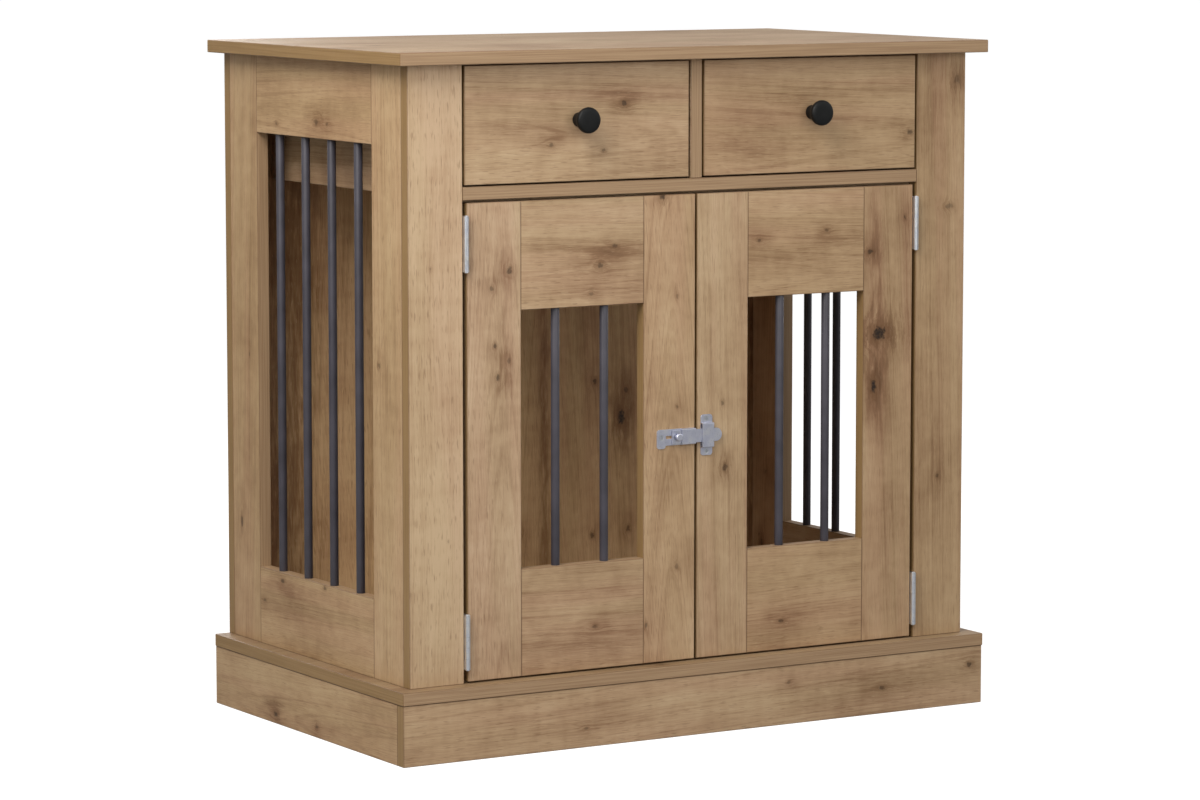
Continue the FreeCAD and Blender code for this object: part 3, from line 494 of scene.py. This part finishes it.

# grain and thick are axes, knots and cloudsAndShadows are along, side, length, width and strength, in mm
boards = {
    # painted light: the tint darkens and greys the top, matching the light and grey sheen it gets
    "tabletop": dict(
        grain=alongX, thick=alongZ, seed=1, pith=(40, 70, 0.03), scatter=7, tintAndLight=(0.90, 0.93, 0.98),
    ),
    # painted shade: the floor board's tint is much darker, for the shade on the ledge and the floor inside
    "floor_board": dict(
        grain=alongX, thick=alongZ, seed=2, pith=(-180, 60, 0.02), scatter=4, tintAndLight=(0.60, 0.58, 0.54),
    ),
    "plinth_front": dict(
        grain=alongX, thick=alongY, seed=3, pith=(90, 60, 0.03),
        knots=[
            (381, 48, 4, 3, 0.7), (253, 31, 4, 2.4, 0.5), (119, 50, 3, 2, 0.4), (-160, 22, 3, 1.6, 0.4),
        ],
        cloudsAndShadows=[(250, 38, 90, 12, 0.2), (-80, 22, 120, 10, 0.15)],
    ),
    "plinth_left": dict(
        grain=alongY, thick=alongX, seed=4, pith=(10, 30, 0.05), tintAndLight=leftSidePaintedShade,
        knots=[(80, 11, 5, 3.4, 0.8), (-25, 13, 3, 2.4, 0.6)],
        cloudsAndShadows=[(84, 18, 26, 12, 0.25), (-20, 26, 30, 18, 0.2)],
    ),
    "plinth_right": dict(grain=alongY, thick=alongX, seed=5, pith=(60, 50, 0.03), scatter=3),
    "plinth_back": dict(grain=alongX, thick=alongY, seed=6, pith=(20, 40, 0.03), scatter=4),
    "back_panel": dict(
        grain=alongZ, thick=alongY, seed=7, pith=(60, 50, 0.05), tintAndLight=insidePaintedLight, scatter=8,
        knots=[
            (364, 128, 4, 3, 0.7), (350, 174, 4, 3, 0.6), (316, 167, 10, 5, 1.0), (168, 124, 4, 3, 0.6),
            (173, 177, 4, 3, 0.6),
        ],
        # the clouds at side 50, -310 and 362 are painted shadow: a dark band behind the door's stile and
        # the dark ends in the rear corners; the others are dark wood round the knots
        cloudsAndShadows=[
            (360, 50, 500, 8, 0.6), (316, 167, 40, 14, 0.3), (400, -310, 700, 45, 0.5),
            (300, 362, 700, 26, 0.8), (420, 110, 160, 16, 0.15),
        ],
    ),
    "drawer_shelf": dict(grain=alongX, thick=alongZ, seed=8, scatter=3),
    "drawer_divider": dict(grain=alongY, thick=alongX, seed=9, scatter=1),
    "door_stop": dict(grain=alongX, thick=alongY, seed=35, scatter=1),
    # painted light: tint and shade make the left post lighter, for the light strongest at the left of the
    # front
    "left_front_post": dict(
        grain=alongZ, thick=alongY, seed=10, pith=(-120, 50, 0.01), shade=-0.2, tintAndLight=(1.03, 1.04, 1.05),
        knots=[(560, -352, 2, 1.2, 0.3), (250, -330, 2, 1.2, 0.25)],
    ),
    "right_front_post": dict(
        grain=alongZ, thick=alongY, seed=11, pith=(250, 60, 0.02), tintAndLight=rightPaintedShade,
        knots=[(756, 368, 6, 4, 0.4), (604, 358, 3, 5, 0.4), (279, 344, 3, 2, 0.5)],
        cloudsAndShadows=[(752, 366, 34, 12, 0.3), (420, 340, 120, 12, 0.12)],
    ),
    "left_bay_panel": dict(grain=alongY, thick=alongX, seed=12, scatter=4),
    "right_bay_panel": dict(grain=alongY, thick=alongX, seed=13, scatter=4),
    # painted light: the shade lightens the front stile, for the side being lit more towards the front
    "left_side_front_stile": dict(
        grain=alongZ, thick=alongX, seed=14, pith=(-60, 50, 0.02), tintAndLight=leftSidePaintedShade, scatter=1,
        shade=-0.12,
    ),
    "left_side_rear_stile": dict(
        grain=alongZ, thick=alongX, seed=15, pith=(120, 40, 0.04), tintAndLight=leftSidePaintedShade,
        knots=[(225, 202, 8, 2.4, 0.7), (430, 178, 3, 1.6, 0.4)],
    ),
    "left_side_top_rail": dict(
        grain=alongY, thick=alongX, tenon=12, seed=16, pith=(720, 40, 0.03), tintAndLight=leftSidePaintedShade,
        knots=[(2, 715, 5, 3.4, 0.5), (103, 709, 3, 2, 0.45), (-25, 714, 3, 2, 0.4)],
        cloudsAndShadows=[(0, 722, 40, 12, 0.2)],
    ),
    "left_side_bottom_rail": dict(
        grain=alongY, thick=alongX, tenon=12, seed=17, pith=(90, 40, 0.04), tintAndLight=leftSidePaintedShade,
        knots=[(95, 167, 5, 2.6, 0.6), (-12, 173, 3, 2, 0.5), (143, 138, 4, 2, 0.5)],
        cloudsAndShadows=[(60, 150, 60, 16, 0.22)],
    ),
    "right_side_front_stile": dict(
        grain=alongZ, thick=alongX, seed=18, pith=(-90, 40, 0.02), scatter=3,
    ),
    # painted shade: the right rear stile tinted darker and browner, for the dark rear corner
    "right_side_rear_stile": dict(
        grain=alongZ, thick=alongX, seed=19, pith=(150, 50, 0.03), scatter=3, tintAndLight=(1.0, 0.92, 0.82),
    ),
    "right_side_top_rail": dict(
        grain=alongY, thick=alongX, tenon=12, seed=20, pith=(740, 40, 0.03), scatter=3,
    ),
    "right_side_bottom_rail": dict(
        grain=alongY, thick=alongX, tenon=12, seed=21, pith=(110, 40, 0.04), scatter=3,
    ),
    # painted light: tinted lighter, for the light strongest at the left of the front
    "left_door_hinge_stile": dict(
        grain=alongZ, thick=alongY, seed=22, pith=(-262, 40, 0.04), tintAndLight=(1.05, 1.07, 1.12),
        knots=[
            (554, -250, 4, 3.2, 0.6), (534, -273, 3, 2.4, 0.45), (469, -269, 3, 2.2, 0.6),
            (451, -251, 4, 2.2, 0.4), (433, -265, 4, 2.6, 0.6),
        ],
        cloudsAndShadows=[(530, -262, 90, 11, 0.24), (450, -262, 60, 12, 0.2), (180, -268, 90, 14, 0.14)],
    ),
    # painted light: tinted a little lighter, for the light falling on it
    "left_door_lock_stile": dict(
        grain=alongZ, thick=alongY, seed=23, pith=(-36, 16, 0.09), tintAndLight=(1.03, 1.01, 0.99),
        knots=[
            (632, -46, 6, 4, 0.8), (514, -26, 3, 1.6, 0.35), (385, -26, 2, 1.6, 0.4),
            (198, -26, 4, 2.2, 0.4), (132, -68, 3, 2, 0.5),
        ],
    ),
    "left_door_top_rail": dict(
        grain=alongX, thick=alongY, tenon=12, seed=24, pith=(560, 40, 0.03),
        knots=[(-110, 576, 4, 2.4, 0.5), (-130, 554, 4, 3.6, 0.6), (-142, 522, 3, 2, 0.35)],
        cloudsAndShadows=[(-195, 572, 50, 8, 0.26), (-128, 566, 44, 15, 0.26), (-90, 562, 34, 8, 0.2)],
    ),
    "left_door_bottom_rail": dict(
        grain=alongX, thick=alongY, tenon=12, seed=25, pith=(100, 40, 0.02), shade=0.04,
        knots=[(-137, 136, 4, 2, 0.45)],
        cloudsAndShadows=[(-150, 122, 90, 16, 0.22)],
    ),
    # painted shade: tinted darker, for the light falling off towards the right
    "right_door_hinge_stile": dict(
        grain=alongZ, thick=alongY, seed=26, pith=(230, 40, 0.04), tintAndLight=(0.95, 0.93, 0.90),
        knots=[
            (554, 244, 3, 4, 0.7), (456, 258, 8, 10, 1.0), (393, 250, 10, 3.6, 1.0),
            (593, 294, 3, 1.8, 0.6),
        ],
        cloudsAndShadows=[
            (455, 258, 32, 18, 0.3), (393, 252, 34, 12, 0.3), (565, 250, 40, 14, 0.3),
            (505, 256, 34, 12, 0.2),
        ],
    ),
    "right_door_lock_stile": dict(
        grain=alongZ, thick=alongY, seed=27, pith=(-20, 50, 0.02), shade=-0.05,
        knots=[(310, 40, 4, 4, 0.6), (386, 37, 3, 2, 0.5)],
        cloudsAndShadows=[(312, 38, 30, 10, 0.25)],
    ),
    # painted shade: tinted darker, for the light falling off towards the right
    "right_door_top_rail": dict(
        grain=alongX, thick=alongY, tenon=12, seed=28, pith=(530, 30, 0.05), tintAndLight=(0.98, 0.96, 0.93),
        knots=[(87, 574, 3, 2.2, 0.5), (182, 582, 3, 2.4, 0.45)],
        cloudsAndShadows=[(190, 566, 46, 14, 0.3), (130, 556, 60, 9, 0.22), (150, 536, 70, 8, 0.18)],
    ),
    # painted shade: tinted darker, for the light falling off towards the right and low down
    "right_door_bottom_rail": dict(
        grain=alongX, thick=alongY, tenon=12, seed=29, pith=(180, 40, 0.02), tintAndLight=(0.97, 0.95, 0.91),
        knots=[(120, 121, 4, 2, 0.55)],
        cloudsAndShadows=[(140, 124, 60, 12, 0.15)],
    ),
    "left_drawer_front": dict(
        grain=alongX, thick=alongY, seed=30, pith=(700, 30, 0.05),
        knots=[(-98, 739, 4, 3, 0.7), (-195, 694, 3, 2.2, 0.5), (-125, 686, 3, 2.2, 0.45)],
        cloudsAndShadows=[(-250, 715, 40, 12, 0.25), (-90, 742, 60, 16, 0.22), (-200, 700, 60, 10, 0.2)],
    ),
    "right_drawer_front": dict(
        grain=alongX, thick=alongY, seed=31, pith=(690, 30, 0.06), tintAndLight=rightPaintedShade,
        knots=[(300, 695, 4, 3, 0.6)],
        cloudsAndShadows=[(72, 680, 40, 14, 0.3), (180, 740, 110, 10, 0.16), (270, 700, 40, 12, 0.16)],
    ),
}
paleBoard = (1.08, 1.10, 1.10)
drawerBoards = {"_left_side": (alongY, alongX), "_right_side": (alongY, alongX), "_back": (alongX, alongY)}
drawerSeeds = {"left_drawer": 40, "right_drawer": 50}
for drawer, firstSeed in drawerSeeds.items():
    for step, (part, (grain, thick)) in enumerate(drawerBoards.items()):
        boards[drawer + part] = dict(
            grain=grain, thick=thick, seed=firstSeed + step, tintAndLight=paleBoard, shade=-0.1, scatter=2,
        )


def finishNode(node, material):
    mesh = nodes[node].data
    mesh.materials.clear()
    mesh.materials.append(material)


def finishBoards():
    for node, board in boards.items():
        if "scatter" in board:
            board["knots"] = list(board.get("knots", ())) + scattered(node, board)
        finishNode(node, oakMaterial(node, board))


# other finishes: sizes are noise per metre, roughness is its middle and how far it varies

hardboard = {
    "speck": 420.0,
    "cloud": 14.0,
    "shades": [(0.3, linear(120, 88, 56)), (0.55, linear(150, 117, 80)), (0.75, linear(168, 136, 98))],
    "stain": linear(132, 101, 68),
    "roughness": (0.6, 0.3),
    "gloss": 0.35,
    "bump": (0.2, 0.2 * mm),
}


def hardboardMaterial():
    s = Shader("hardboard")
    x, y, z = s.axes()
    speck = s.noise(x, y, z, hardboard["speck"], 3.0, 0.7)
    cloud = s.ease(s.noise(x, y, z, hardboard["cloud"]), 0.3, 0.7)
    colour = s.mix(cloud, s.ramp(speck, hardboard["shades"]), hardboard["stain"])
    middle, spread = hardboard["roughness"]
    s.set(Base_Color=colour, Roughness=s.vary(middle, speck, spread), Specular_IOR_Level=hardboard["gloss"])
    s.bump(speck, *hardboard["bump"])
    return s.material


graphite = {
    "peel": 900.0,
    "cloud": 30.0,
    "shades": [(0.3, linear(58, 56, 64)), (0.7, linear(72, 70, 79))],
    "roughness": (0.45, 0.16),
    "gloss": 0.4,
    "bump": (0.18, 0.15 * mm),
}
epoxy = {
    "peel": 500.0,
    "cloud": 20.0,
    "shades": [(0.3, linear(214, 213, 208)), (0.7, linear(228, 227, 223))],
    "roughness": (0.37, 0.15),
    "gloss": 0.5,
    "bump": (0.15, 0.15 * mm),
}


# a baked coat: a fine orange peel, a little lighter where it is thin; stretch draws the peel out along Z
def coatMaterial(name, coat, stretch=1.0):
    s = Shader(name)
    x, y, z = s.axes()
    peel = s.noise(x, y, s.maths("MULTIPLY", z, stretch), coat["peel"])
    cloud = s.noise(x, y, z, coat["cloud"])
    middle, spread = coat["roughness"]
    s.set(Base_Color=s.ramp(cloud, coat["shades"]), Roughness=s.vary(middle, peel, spread))
    s.set(Specular_IOR_Level=coat["gloss"])
    s.bump(peel, *coat["bump"])
    return s.material


matt = {
    "grit": 1400.0,
    "smudge": 90.0,
    "shades": [(0.3, linear(4, 5, 6)), (0.7, linear(10, 11, 12))],
    "roughness": (0.5, 0.2),
    "gloss": 0.25,
    "bump": (0.12, 0.1 * mm),
}


def blackMaterial():
    s = Shader("matt_black")
    x, y, z = s.axes()
    grit = s.noise(x, y, z, matt["grit"])
    smudge = s.noise(x, y, z, matt["smudge"])
    middle, spread = matt["roughness"]
    s.set(Base_Color=s.ramp(smudge, matt["shades"]), Roughness=s.vary(middle, smudge, spread))
    s.set(Specular_IOR_Level=matt["gloss"])
    s.bump(grit, *matt["bump"])
    return s.material


zinc = {
    "bright": [linear(206, 211, 222), linear(216, 220, 228), linear(224, 226, 228)],
    "dull": [linear(196, 199, 216), linear(204, 207, 222), linear(212, 214, 224)],
    "spot": linear(120, 123, 134),
    "spotMix": 0.3,
    "edge": {"hinge": 0.3 * mm, "latch": 0.35 * mm},
    "marks": (300.0, 4200.0),  # along and across the rolling
    "cloud": 110.0,
    "spots": 640.0,
    "roughnessSpread": 0.22,
    "bump": (0.10, 0.05 * mm),
}


# bright zinc plate: rolling marks drawn out along one axis, faint blue and yellow clouds, duller spots
def zincMaterial(name, brush, shades, roughness):
    s = Shader(name)
    axes = s.axes()
    run, cross = zinc["marks"]
    rates = [run if axis == brush else cross for axis in (alongX, alongY, alongZ)]
    drawn = [s.maths("MULTIPLY", axis, rate) for axis, rate in zip(axes, rates)]
    marks = s.noise(*drawn)
    cloud = s.noise(*axes, zinc["cloud"])
    spots = s.ease(s.noise(*axes, zinc["spots"], 2.0, 0.6), 0.58, 0.72)
    colour = s.ramp(cloud, list(zip((0.3, 0.5, 0.7), shades)))
    colour = s.mix(s.maths("MULTIPLY", spots, zinc["spotMix"]), colour, zinc["spot"])
    s.set(Base_Color=colour, Metallic=1.0, Roughness=s.vary(roughness, marks, zinc["roughnessSpread"]))
    s.bump(marks, *zinc["bump"])
    return s.material


# meshes from formulas

# Points of a turned solid about the Z axis: radius r and height z of the profile carried round by the
# angle t, as (r cos t, r sin t, z), with one point at each pole.
def turned(profile, sides):
    radii, heights = profile[1:-1, 0], profile[1:-1, 1]
    angles = np.arange(sides) * (2 * math.pi / sides)
    x, y = np.outer(radii, np.cos(angles)), np.outer(radii, np.sin(angles))
    rings = np.stack([x, y, np.outer(heights, np.ones(sides))], axis=-1)
    points = np.concatenate([rings.reshape(-1, 3), [[0, 0, profile[0, 1]], [0, 0, profile[-1, 1]]]])
    count = len(radii)
    row, column = np.meshgrid(np.arange(count - 1) * sides, np.arange(sides), indexing="ij")
    after = (column + 1) % sides
    corners = [row + column, row + after, row + sides + after, row + sides + column]
    quads = np.stack(corners, axis=-1).reshape(-1, 4)
    around = np.arange(sides)
    beside = (around + 1) % sides
    top = (count - 1) * sides
    start = np.stack([np.full(sides, count * sides), beside, around], axis=-1)
    end = np.stack([np.full(sides, count * sides + 1), top + around, top + beside], axis=-1)
    return points, quads, np.concatenate([start, end])


# rounds a line's corners: each round puts points a quarter and three quarters along every span
def cornerCut(profile, rounds):
    line = np.asarray(profile, float)
    for _ in range(rounds):
        early = line[:-1] * 0.75 + line[1:] * 0.25
        late = line[:-1] * 0.25 + line[1:] * 0.75
        line = np.concatenate([line[:1], np.stack([early, late], axis=1).reshape(-1, 2), line[-1:]])
    return line


def standFor(name, mesh, material, node):
    mesh.materials.clear()
    mesh.materials.append(material)
    piece = bpy.data.objects.new(name, mesh)
    bpy.context.scene.collection.objects.link(piece)
    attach(piece, bodyOf[node])
    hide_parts(node)
    return piece


# one mesh from several solids, each moved to its place, standing for a CAD node
def addPiece(name, solid, places, material, node):
    points, quads, caps = solid
    moved = np.concatenate([points + place for place in places])
    faces = []
    for index in range(len(places)):
        faces += (quads + index * len(points)).tolist() + (caps + index * len(points)).tolist()
    mesh = bpy.data.meshes.new(name)
    mesh.from_pydata(moved.tolist(), [], faces)
    form = bmesh.new()
    form.from_mesh(mesh)
    bmesh.ops.recalc_face_normals(form, faces=form.faces)
    form.to_mesh(mesh)
    form.free()
    mesh.polygons.foreach_set("use_smooth", np.ones(len(mesh.polygons), bool))
    return standFor(name, mesh, material, node)


soften = {
    "merge": 0.002 * mm,
    "flat": math.radians(1.0),    # faces that meet at less are one
    "sharp": math.radians(38.0),  # edges that turn by more are rounded
    "segments": 2,
    "weight": 100,
}


# a copy of a CAD node with its triangles joined into whole faces and its edges rounded
def softEdged(node, width, material):
    mesh = nodes[node].data.copy()
    mesh.name = node + "_soft"
    form = bmesh.new()
    form.from_mesh(mesh)
    bmesh.ops.remove_doubles(form, verts=form.verts, dist=soften["merge"])
    bmesh.ops.dissolve_limit(form, angle_limit=soften["flat"], verts=form.verts, edges=form.edges)
    bmesh.ops.recalc_face_normals(form, faces=form.faces)
    form.to_mesh(mesh)
    form.free()
    mesh.polygons.foreach_set("use_smooth", np.ones(len(mesh.polygons), bool))
    piece = standFor(node + "_soft", mesh, material, node)
    bevel = piece.modifiers.new("soft", "BEVEL")
    bevel.limit_method = "ANGLE"
    bevel.angle_limit = soften["sharp"]
    bevel.width = width
    bevel.segments = soften["segments"]
    even = piece.modifiers.new("even", "WEIGHTED_NORMAL")
    even.weight = soften["weight"]
    return piece


# bars

bars = {
    "diameter": 10 * mm,
    "endRound": 0.6 * mm,
    "shoulder": 0.3,          # the rounding's middle point, as a share of it
    "sides": 48,
    "pitch": 65 * mm,
    "counts": {"side": 4, "door": 2},
}


def makeBars(material):
    radius, ease = bars["diameter"] / 2, bars["endRound"]
    for node in ("left_side_bars", "right_side_bars", "left_door_bars", "right_door_bars"):
        low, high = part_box(node)
        row = alongY if "side" in node else alongX
        count = bars["counts"]["side" if row == alongY else "door"]
        part = ease * bars["shoulder"]
        profile = np.array([
            (0, low.z), (radius - ease, low.z), (radius - part, low.z + part), (radius, low.z + ease),
            (radius, high.z - ease), (radius - part, high.z - part), (radius - ease, high.z), (0, high.z),
        ])
        places = np.tile([(low.x + high.x) / 2, (low.y + high.y) / 2, 0.0], (count, 1))
        places[:, row] += (np.arange(count) - (count - 1) / 2) * bars["pitch"]
        piece = addPiece(node + "_round", turned(profile, bars["sides"]), places, material, node)


# knobs

knob = {
    "profile": [  # radius and distance from the drawer's face, in millimetres
        (0, 0), (8.2, 0), (8.4, 1.8), (8.2, 4.0), (8.3, 7.0), (8.9, 10.4), (10.2, 13.6), (12.0, 16.4),
        (13.8, 18.6), (14.9, 20.6), (15.0, 23.6), (14.2, 25.6), (12.2, 26.6), (6.0, 27.0), (0, 27.0),
    ],
    "rounds": 3,
    "sides": 96,
}


def makeKnobs(material):
    for node in ("left_drawer_knob", "right_drawer_knob"):
        low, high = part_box(node)
        points, quads, caps = turned(cornerCut(knob["profile"], knob["rounds"]) * mm, knob["sides"])
        points = np.stack([points[:, 0], high.y - points[:, 2], points[:, 1]], axis=-1)
        place = np.array([[(low.x + high.x) / 2, 0, (low.z + high.z) / 2]])
        piece = addPiece(node + "_turned", (points, quads, caps), place, material, node)


# floor: pale, and lit from within as a light table is, so that it and the surround read as one white
floorPaint = {
    "radius": 90.0,
    "lit": 0.30,              # how much of the lamps' light the camera sees on it
    "bounce": 0.35,           # how much it gives back to the table
    "glow": (0.86, 1.0),      # from within, near the table and far off
    "glowFrom": (0.9, 3.0),   # metres
    "grain": (60.0, 0.98),    # noise per metre, and how dark its dark side is
    "roughness": 0.9,
    "gloss": 0.1,
    "sides": 96,
}


def makeFloor():
    s = Shader("floor")
    x, y, z = s.axes()
    scale, darker = floorPaint["grain"]
    speckle = s.ease(s.noise(x, y, z, scale, 3.0), 0.2, 0.8)
    shades = [s.mix(speckle, (v, v, v, 1.0), (v * darker, v * darker, v * darker, 1.0))
              for v in (floorPaint["lit"], floorPaint["bounce"])]
    s.set(Base_Color=shades[1], Roughness=floorPaint["roughness"], Specular_IOR_Level=floorPaint["gloss"])
    lit = s.add("ShaderNodeBsdfDiffuse")
    s.feed(lit.inputs["Color"], shades[0])
    radius = s.maths("SQRT", s.maths("MULTIPLY_ADD", x, x, s.maths("MULTIPLY", y, y)))
    near, far = floorPaint["glow"]
    glow = s.add("ShaderNodeEmission")
    distant = s.ease(radius, *floorPaint["glowFrom"])
    s.feed(glow.inputs["Strength"], s.maths("MULTIPLY_ADD", distant, far - near, near))
    table = s.add("ShaderNodeAddShader")
    s.feed(table.inputs[0], lit.outputs[0])
    s.feed(table.inputs[1], glow.outputs[0])
    rays = s.add("ShaderNodeLightPath")
    choice = s.add("ShaderNodeMixShader")
    s.feed(choice.inputs[0], rays.outputs["Is Camera Ray"])
    s.feed(choice.inputs[1], s.surface.outputs["BSDF"])
    s.feed(choice.inputs[2], table.outputs[0])
    s.feed(s.output.inputs["Surface"], choice.outputs[0])
    sides = floorPaint["sides"]
    angles = np.arange(sides) * (2 * math.pi / sides)
    rim = np.stack([np.cos(angles), np.sin(angles), np.zeros(sides)], axis=-1) * floorPaint["radius"]
    mesh = bpy.data.meshes.new("floor")
    mesh.from_pydata(rim.tolist(), [], [list(range(sides))])
    mesh.materials.append(s.material)
    floor = bpy.data.objects.new("floor", mesh)
    bpy.context.scene.collection.objects.link(floor)


makeCamera()
makeLight()
makeFloor()
print("stage ready")
finishBoards()
print("boards finished:", len(boards))
makeBars(coatMaterial("graphite_coat", graphite, 0.8))
makeKnobs(blackMaterial())
print("bars and knobs made")

zincHinge = zincMaterial("zinc_hinge", alongZ, zinc["bright"], 0.36)
zincLatch = zincMaterial("zinc_latch", alongX, zinc["dull"], 0.42)
zincScrew = zincMaterial("zinc_screw", alongY, zinc["bright"], 0.34)
whiteCoat = coatMaterial("white_epoxy", epoxy)
plainHardboard = hardboardMaterial()
for node in list(nodes):
    if node.endswith("hinge_leaves") or node == "hinge_post_leaves":
        softEdged(node, zinc["edge"]["hinge"], zincHinge)
    elif node.startswith("latch_"):
        softEdged(node, zinc["edge"]["latch"], zincLatch)
    elif node.endswith("_screws") or node == "cabinet_fasteners":
        finishNode(node, zincScrew)
    elif node.endswith(("runners", "sliders")):
        finishNode(node, whiteCoat)
    elif node.endswith("drawer_bottom"):
        finishNode(node, plainHardboard)
print("metal, runners and hardboard finished")
